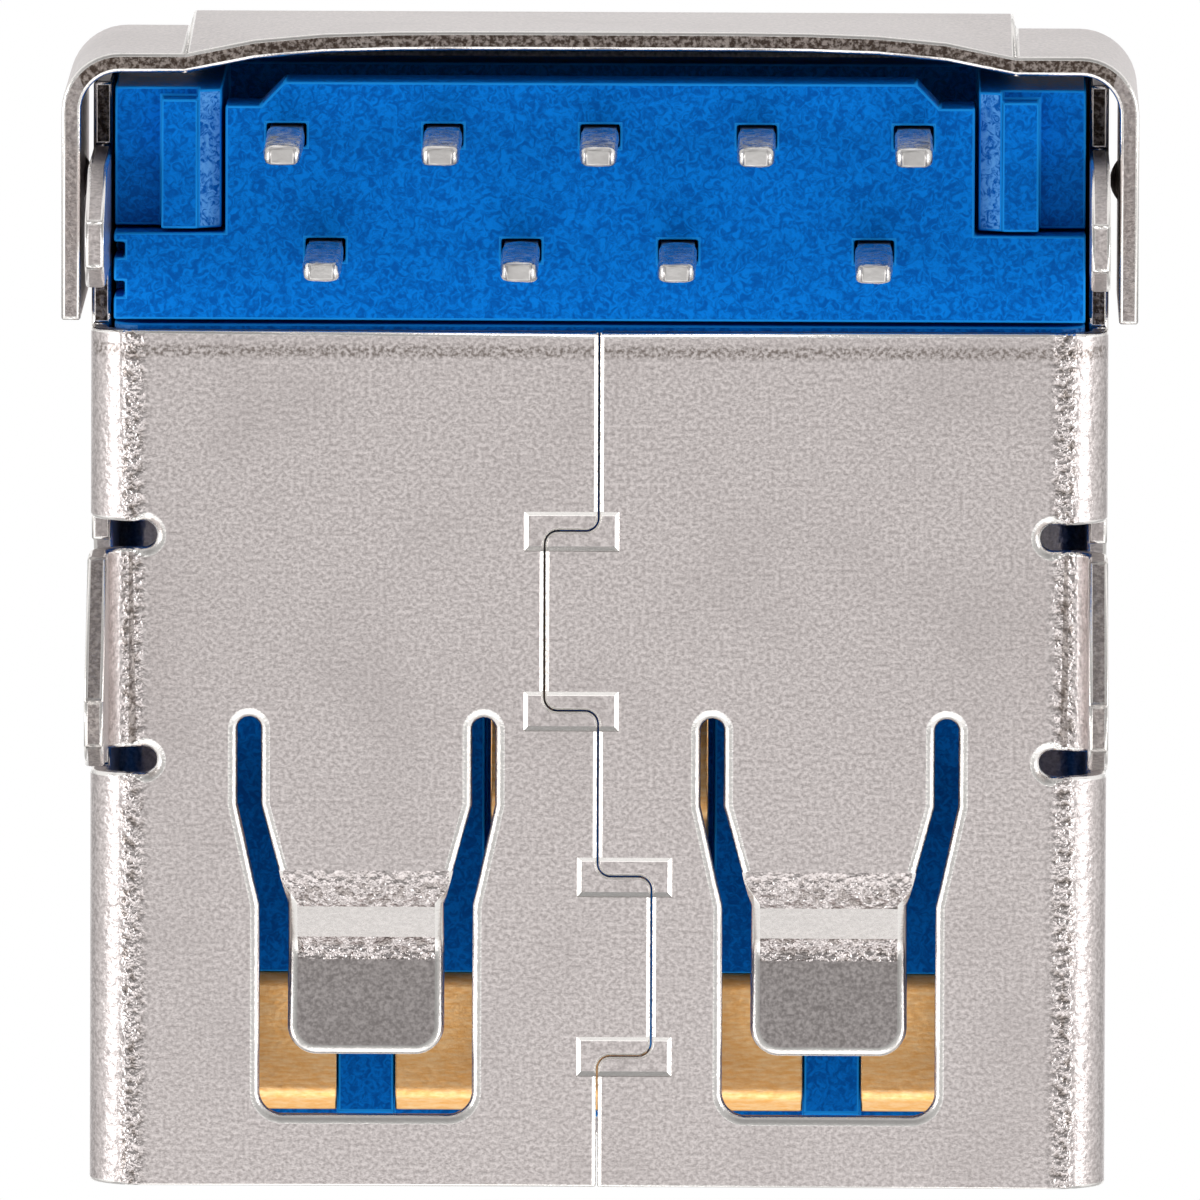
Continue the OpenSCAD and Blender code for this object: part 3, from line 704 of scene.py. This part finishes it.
def dress(work, node, material, slot):
    """Turns a rounded copy into the piece that stands for a frame piece, inside the frame's box."""
    for polygon in work.faces:
        polygon.smooth = True
    for vert in work.verts:
        vert.co = [min(max(at, low), high) for at, low, high in zip(vert.co, cad_low, cad_high)]
    mesh = bpy.data.meshes.new(node)
    work.to_mesh(mesh)
    work.free()
    mesh.materials.append(material)
    facing = [Vector(value.vector) for value in mesh.attributes["facing"].data]
    normals = [kept if kept.length else vert.normal for kept, vert in zip(facing, mesh.vertices)]
    mesh.normals_split_custom_set_from_vertices(normals)
    piece = bpy.data.objects.new(f"{node}_dressed", mesh)
    scene.collection.objects.link(piece)
    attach(piece, "root")
    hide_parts(node)
    return piece


# %% [markdown]
# ## The shell
#
# The real shell is stamped from one sheet and folded around the plastic. Its seam is pressed
# shut and locked by four coined pockets. Each step leaves its own kind of edge: a wide roll-over
# around the holes, narrow chamfers along the seam and the coins, and hardly any rounding on the
# legs and the flap. The edges could be picked by number, but numbers change with every pack of
# the frame. Here the place of an edge, in millimetres, tells its kind.

# %% Sizes and places on the shell
# Roll-overs, on the face of the sheet and down the cut.
ROLL_OVER = 0.12
ROLL_DEPTH = 0.09
SEAM_ROLL = 0.052
SEAM_DEPTH = 0.038
REAR_ROLL = 0.08
REAR_DEPTH = 0.05
LEG_ROLL = 0.05
END_ROLL = 0.035
# The depth of the coined pockets, and the widths along their foot, their rim and the seam in them.
COIN_DEPTH = 0.07
COIN_ROLL = 0.06
COIN_RIM = 0.002
COIN_SEAM_ROLL = 0.03
# Where the kinds of edges and faces lie.
FLAT = 0.002
SEAM_REACH = 0.8
SEAM_RUN = 1.2
FLOOR_FRONT = -6.8
FLOOR_END = 3.9
FINGER_REACH = 5.5
FINGER_BEND_FROM = -2.8
FINGER_BEND_FADE = 0.3
WALLS_FROM = 5.6
WINGS_FROM = 6.6
FLAP_CORNERS_FROM = 5.2
FLAP_INSIDE = 7.0
CUTS_BELOW = 2.0
# How far a face's normal has to point along an axis.
LEVEL = 0.7
DOWN = 0.9
SIDEWAYS = 0.3
FORWARD = 0.5
FINGER_SLOPES = (0.2, 0.8)
# How torn, bent and polished they are, from 0 to 1. Polish comes with a painted highlight, and the
# flap's torn value also gives painted shade to the side walls' lower edges behind the floor.
TORN_FLAP = 1.0
TORN_FRONT_LEGS = 0.6
TORN_WINGS = 0.5
TORN_REAR_LEGS = 0.2
WALL_BENDS = 0.15
FINGER_ROOTS = 0.2
FINGER_POLISH_AND_HIGHLIGHT = 0.6
print("shell: roll-overs from", COIN_RIM, "to", ROLL_OVER, "mm")


# %% Edges of the shell
def heights(item):
    """Lowest and highest point of an edge or a face, in millimetres."""
    levels = [vert.co.z / MM for vert in item.verts]
    return min(levels), max(levels)


def near_seam(edge):
    """Whether an edge lies in the middle of the shell, where the seam runs."""
    return all(abs(vert.co.x) < SEAM_REACH * MM for vert in edge.verts)


def on_seam(edge):
    """Whether an edge is one of the seam's long straight runs on the outside."""
    return near_seam(edge) and heights(edge)[1] < FLAT and edge.calc_length() > SEAM_RUN * MM


def on_coin(edge):
    """Whether an edge belongs to one of the shallow coined pockets that lock the seam."""
    spans = [heights(other) for other in edge.link_faces]
    return any(bottom > -FLAT and FLAT < top < COIN_DEPTH + FLAT for bottom, top in spans)


def shell_shape(edge):
    """The seam and the coins have chamfers, and all other edges are round."""
    return CHAMFER if on_seam(edge) or on_coin(edge) else ROUND


def coin_roll(edge, on_floor):
    """A coin's side is steep, then slopes to its foot. The seam has a small roll inside a coin."""
    if heights(edge)[0] < FLAT:
        return COIN_RIM
    if min(heights(other)[0] for other in edge.link_faces) > FLAT:
        return COIN_SEAM_ROLL
    return COIN_ROLL if on_floor else COIN_DEPTH / 2


def shell_roll_over(edge, polygon):
    """Width of the roll-over on one of the edge's faces."""
    low, high = heights(edge)
    on_floor = abs(polygon.normal.z) > LEVEL
    if on_seam(edge):
        return SEAM_ROLL if on_floor else SEAM_DEPTH
    if on_coin(edge):
        return coin_roll(edge, on_floor)
    x, y, _ = polygon.calc_center_median() / MM
    on_finger = abs(x) < FINGER_REACH and y < BEHIND_FLOOR and high < CUTS_BELOW
    if low < -FLAT or (high > FLAT and not on_finger):
        return LEG_ROLL
    if all(vert.co.y > FLOOR_END * MM for vert in edge.verts) and high < FLAT:
        return REAR_ROLL if on_floor else REAR_DEPTH
    at_an_end = all(not FLOOR_FRONT * MM < vert.co.y < FLOOR_END * MM for vert in edge.verts)
    if at_an_end or near_seam(edge):
        return END_ROLL
    return ROLL_OVER if on_floor else ROLL_DEPTH


# %% Marks on the shell
def torn_and_shade_of(polygon):
    """How torn a face is: the flap's cut edges are the most torn, and the rear legs the least. The
    side walls' lower edges behind the floor are cut edges too and count with the flap; their dark
    torn colour is also painted shade.
    """
    x, y, z = polygon.calc_center_median() / MM
    if 0 < z < CUTS_BELOW and y > BEHIND_FLOOR and polygon.normal.z < -DOWN:
        return TORN_FLAP if abs(x) < WINGS_FROM else TORN_WINGS
    if z < -FLAT and abs(polygon.normal.x) < SIDEWAYS:
        return TORN_REAR_LEGS if y > BEHIND_FLOOR else TORN_FRONT_LEGS
    return 0.0


def shell_marks(polygon, narrow):
    """How bent a face is, and how polished with a painted highlight. Of the flap, only the inside
    of its corners is bent.
    """
    x, y, _ = polygon.calc_center_median() / MM
    if y > BEHIND_FLOOR:
        in_corner = y > FLAP_INSIDE and abs(x) > FLAP_CORNERS_FROM
        return float(in_corner and polygon.normal.y < -FORWARD), 0.0
    if abs(x) > WALLS_FROM:
        return WALL_BENDS * narrow, 0.0
    # The fingers' slopes get polish and a painted highlight.
    least, most = FINGER_SLOPES
    slope = least < -polygon.normal.y < most and not narrow
    depth = (FINGER_BEND_FROM - y) / FINGER_BEND_FADE
    return narrow * min(max(depth, FINGER_ROOTS), 1.0), FINGER_POLISH_AND_HIGHLIGHT * slope


# %% Shell
shell_work = merged_copy("shell", torn_and_shade_of)
shell_work, count = round_edges(shell_work, shell_roll_over, shell_marks, shell_shape)
shell = dress(shell_work, "shell", nickel, "shell_metal")
print(shell.name, "has", count, "edges rounded")

# %% [markdown]
# ## Blue plastic
#
# The insulator and the tail plate are moulded in the same strong blue. The skin of a moulding
# has a slight sheen with a faint mottle. Its edges get a paler blue as a painted highlight, and
# the two slopes beside the ribs get a paler, mottled blue as painted sheen. One blue with a bump
# would look like paint, so two blues follow the grain, and marks on the mesh pick out the edges
# and the slopes.


# %% Plastic materials
DEEP_BLUE = (0.001, 0.095, 0.42)
INSULATOR_BLUE = (0.002, 0.19, 0.71)
PLATE_BLUE = (0.002, 0.20, 0.73)
EDGE_HIGHLIGHT_BLUE = (0.01, 0.26, 0.76)
SLOPE_SHEEN_BLUE = (0.11, 0.36, 0.80)
MOTTLE_SIZE = 0.11
MOTTLE_TONE = 0.8
MOTTLE_SWIRL = 1.5
MOTTLE_SPAN = (0.36, 0.64)
MOTTLE_HEIGHT = 0.006
PLASTIC_SHEEN = 0.02
PLASTIC_ROUGH = (0.36, 0.5)


def moulded_blue(name, bright):
    """A blue plastic with a mottled skin, a painted highlight on its edges and painted sheen on its
    marked slopes.
    """
    material, tree, shader = new_material(name)
    shader.inputs["Specular IOR Level"].default_value = PLASTIC_SHEEN
    surface = add_skin(tree, 1 / MOTTLE_SIZE, MOTTLE_TONE, swirl=MOTTLE_SWIRL)
    mottle = remap(tree, surface.outputs["Grain"], (-500, 200), MOTTLE_SPAN)
    color = mix_colors(tree, mottle, (-300, 200), DEEP_BLUE, bright)
    # Rounded edges get a paler blue as a painted highlight.
    color = mix_colors(tree, mask(tree, "highlit", (-500, 750)), (-150, 300), color, EDGE_HIGHLIGHT_BLUE)
    # The slopes beside the ribs get a paler, mottled blue as painted sheen.
    slope_sheen = product(tree, (-300, 450), mask(tree, "torn_and_painted_light", (-500, 500)), mottle)
    color = mix_colors(tree, slope_sheen, (0, 300), color, SLOPE_SHEEN_BLUE)
    tree.links.new(color, shader.inputs["Base Color"])
    rough = remap(tree, surface.outputs["Grain"], (-300, 0), NOISE_SPAN, PLASTIC_ROUGH)
    tree.links.new(rough, shader.inputs["Roughness"])
    bump(tree, shader, surface.outputs["Grain"], (0, -300), MOTTLE_HEIGHT)
    return material


insulator_blue = moulded_blue("insulator_blue", INSULATOR_BLUE)
plate_blue = moulded_blue("plate_blue", PLATE_BLUE)
print("materials:", insulator_blue.name, plate_blue.name)

# %% Insulator and tail plate
MOULD_RADIUS = 0.03
RIB_LEAN = 0.2


def slope_of(polygon):
    """Marks the faces that lean sideways, beside the cheeks' ribs, for a painted sheen."""
    return float(abs(polygon.normal.x) > RIB_LEAN and polygon.normal.z < -RIB_LEAN)


for node, material, slot in (
    ("insulator", insulator_blue, "insulator_plastic"),
    ("tail_plate", plate_blue, "plate_plastic"),
):
    work, count = round_edges(merged_copy(node, slope_of), lambda edge, polygon: MOULD_RADIUS)
    dress(work, node, material, slot)
    print(node, count, "edges rounded")

# %% [markdown]
# ## Gold and tin
#
# Each contact is one strip of metal with two platings: gold where the plug touches it, and tin
# on the tail that is soldered. The change lies inside the plastic, and a height along z with a
# little noise is enough to draw it. The strip was rolled, and fine lines run across the pads.

# %% Contact material
GOLD = (0.93, 0.48, 0.15)
GOLD_PALE = (1.0, 0.66, 0.33)
TIN_DARK = (0.42, 0.40, 0.39)
TIN_LIGHT = (0.78, 0.76, 0.74)
PLATING_CHANGE = (1.2, 1.7)
STRIP_ROUGH = (0.28, 0.42)
STRIP_GRAIN = 14.0
STRIP_TONE = 3.0
STRIP_HEIGHT = 0.003
ROLLED_ALONG = (0.2, 1, 1)
ROLLED_LINES = 24.0

gold_tin, tree, shader = new_material("gold_and_tin")
shader.inputs["Metallic"].default_value = 1.0
surface = add_skin(tree, STRIP_GRAIN, STRIP_TONE)
where = mm_coordinates(tree, (-1300, -400))
axes = new_node(tree, "ShaderNodeSeparateXYZ", (-1000, -400))
tree.links.new(where, axes.inputs[0])
uneven = math_of(tree, "ADD", (-800, -400), axes.outputs["Z"], surface.outputs["Tone"])
gilt = remap(tree, uneven, (-600, -400), PLATING_CHANGE)
across = new_node(tree, "ShaderNodeVectorMath", (-1000, 500), operation="MULTIPLY")
across.inputs[1].default_value = ROLLED_ALONG
tree.links.new(where, across.inputs[0])
lines = noise_at(tree, across.outputs[0], (-800, 500), 4.0, 0.7, scale=ROLLED_LINES)
lines = remap(tree, lines, (-650, 500), NOISE_SPAN)
gold = mix_colors(tree, lines, (-500, 300), GOLD, GOLD_PALE)
tin = mix_colors(tree, surface.outputs["Tone"], (-500, 100), TIN_DARK, TIN_LIGHT)
tree.links.new(mix_colors(tree, gilt, (-200, 200), tin, gold), shader.inputs["Base Color"])
rough = remap(tree, surface.outputs["Grain"], (-300, 0), NOISE_SPAN, STRIP_ROUGH)
tree.links.new(rough, shader.inputs["Roughness"])
bump(tree, shader, surface.outputs["Grain"], (0, -300), STRIP_HEIGHT)
print("material:", gold_tin.name)

# %% Contacts
STRIP_RADIUS = 0.03

contacts = [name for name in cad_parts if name.endswith("_contact")]
for node in contacts:
    work, count = round_edges(merged_copy(node), lambda edge, polygon: STRIP_RADIUS)
    dress(work, node, gold_tin, "contact_metal")
print("contacts:", len(contacts))

# %% [markdown]
# ## Tinned tails
#
# The nine tails are dipped in molten tin, which leaves a rounded, uneven coat on each. The coats
# could be modelled one by one, but they all follow one rule, so one Geometry Nodes tree makes
# them: a box on every tail, softened by subdivision, then pushed about by noise that differs
# from place to place. The result is kept as a plain mesh, and the points it grew on are removed.

# %% Tin material
DIP_DARK = (0.52, 0.50, 0.49)
DIP_LIGHT = (0.86, 0.84, 0.82)
DIP_ROUGH = (0.16, 0.34)
DIP_GRAIN = 11.0
DIP_TONE = 4.0
DIP_HEIGHT = 0.01

dipped, tree, shader = new_material("dipped_tin")
shader.inputs["Metallic"].default_value = 1.0
surface = add_skin(tree, DIP_GRAIN, DIP_TONE)
patchy = remap(tree, surface.outputs["Tone"], (-500, 200), NOISE_SPAN)
tin = mix_colors(tree, patchy, (-300, 200), DIP_DARK, DIP_LIGHT)
tree.links.new(tin, shader.inputs["Base Color"])
rough = remap(tree, surface.outputs["Grain"], (-300, 0), NOISE_SPAN, DIP_ROUGH)
tree.links.new(rough, shader.inputs["Roughness"])
bump(tree, shader, surface.outputs["Grain"], (0, -300), DIP_HEIGHT)
print("material:", dipped.name)

# %% Geometry Nodes tree for the coats
COAT_CUTS = (3, 3, 14)
COAT_LUMPS = 3.0

coats_tree = bpy.data.node_groups.new("tin_coats", "GeometryNodeTree")
sockets = coats_tree.interface
sockets.new_socket("Geometry", in_out="INPUT", socket_type="NodeSocketGeometry")
for label, kind in (
    ("Size", "NodeSocketVector"),
    ("Unevenness", "NodeSocketFloat"),
    ("Seed", "NodeSocketFloat"),
    ("Material", "NodeSocketMaterial"),
):
    sockets.new_socket(label, in_out="INPUT", socket_type=kind)
sockets.new_socket("Geometry", in_out="OUTPUT", socket_type="NodeSocketGeometry")

enter = new_node(coats_tree, "NodeGroupInput", (-1200, 0))
leave = new_node(coats_tree, "NodeGroupOutput", (800, 0))
box = new_node(coats_tree, "GeometryNodeMeshCube", (-1000, -200))
for axis, count in zip("XYZ", COAT_CUTS):
    box.inputs[f"Vertices {axis}"].default_value = count
soft = new_node(coats_tree, "GeometryNodeSubdivisionSurface", (-800, -200), Level=2)
placed = new_node(coats_tree, "GeometryNodeInstanceOnPoints", (-600, 0))
real = new_node(coats_tree, "GeometryNodeRealizeInstances", (-400, 0))
noise = new_node(coats_tree, "ShaderNodeTexNoise", (-600, -400), noise_dimensions="4D")
noise.inputs["Scale"].default_value = COAT_LUMPS / MM
signed = new_node(coats_tree, "ShaderNodeMath", (-400, -400), operation="SUBTRACT")
signed.inputs[1].default_value = 0.5
sized = new_node(coats_tree, "ShaderNodeMath", (-200, -400), operation="MULTIPLY")
outwards = new_node(coats_tree, "GeometryNodeInputNormal", (-200, -600))
push = new_node(coats_tree, "ShaderNodeVectorMath", (0, -400), operation="SCALE")
moved = new_node(coats_tree, "GeometryNodeSetPosition", (200, 0))
shaded = new_node(coats_tree, "GeometryNodeSetShadeSmooth", (400, 0))
painted = new_node(coats_tree, "GeometryNodeSetMaterial", (600, 0))
for start, end in (
    (enter.outputs["Geometry"], placed.inputs["Points"]),
    (enter.outputs["Size"], box.inputs["Size"]),
    (box.outputs["Mesh"], soft.inputs["Mesh"]),
    (soft.outputs["Mesh"], placed.inputs["Instance"]),
    (placed.outputs["Instances"], real.inputs["Geometry"]),
    (enter.outputs["Seed"], noise.inputs["W"]),
    (noise.outputs[0], signed.inputs[0]),
    (signed.outputs[0], sized.inputs[0]),
    (enter.outputs["Unevenness"], sized.inputs[1]),
    (outwards.outputs["Normal"], push.inputs[0]),
    (sized.outputs[0], push.inputs["Scale"]),
    (real.outputs["Geometry"], moved.inputs["Geometry"]),
    (push.outputs[0], moved.inputs["Offset"]),
    (moved.outputs["Geometry"], shaded.inputs["Geometry"]),
    (shaded.outputs["Geometry"], painted.inputs["Geometry"]),
    (enter.outputs["Material"], painted.inputs["Material"]),
    (painted.outputs["Geometry"], leave.inputs["Geometry"]),
):
    coats_tree.links.new(start, end)
print("tree:", coats_tree.name, "with", len(coats_tree.nodes), "nodes")

# %% Coats
COAT = 0.02
COAT_TOP = 0.02
COAT_CLEAR = 0.02
COAT_UNEVEN = 0.06
COAT_SEED = 4.0


def tail_of(node):
    """The middle and the size of a contact's tail, which is what lies below the shell's floor."""
    corners = [vert.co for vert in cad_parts[node].data.vertices if vert.co.z < 0]
    low, high = (Vector(map(pick, zip(*corners))) for pick in (min, max))
    return (low + high) / 2, high - low


low = cad_low[2] + COAT_CLEAR * MM
high = COAT_TOP * MM
tails = [tail_of(node) for node in contacts]
thickest = [max(size[axis] for _, size in tails) for axis in range(2)]
points_mesh = bpy.data.meshes.new("tail_points")
points_mesh.from_pydata([(middle.x, middle.y, (low + high) / 2) for middle, _ in tails], [], [])
points = bpy.data.objects.new("tail_points", points_mesh)
scene.collection.objects.link(points)
modifier = points.modifiers.new("coats", "NODES")
modifier.node_group = coats_tree
settings = {
    "Size": (thickest[0] + 2 * COAT * MM, thickest[1] + 2 * COAT * MM, high - low),
    "Unevenness": COAT_UNEVEN * MM,
    "Seed": COAT_SEED,
    "Material": dipped,
}
for item in coats_tree.interface.items_tree:
    if item.in_out == "INPUT" and item.name in settings:
        modifier[item.identifier] = settings[item.name]
evaluated = points.evaluated_get(bpy.context.evaluated_depsgraph_get())
coats = bpy.data.objects.new("tin_coats", bpy.data.meshes.new_from_object(evaluated))
scene.collection.objects.link(coats)
points.modifiers.remove(modifier)
bpy.data.objects.remove(points)
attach(coats, "root")
print("coats:", len(tails), "tails,", len(coats.data.polygons), "faces")
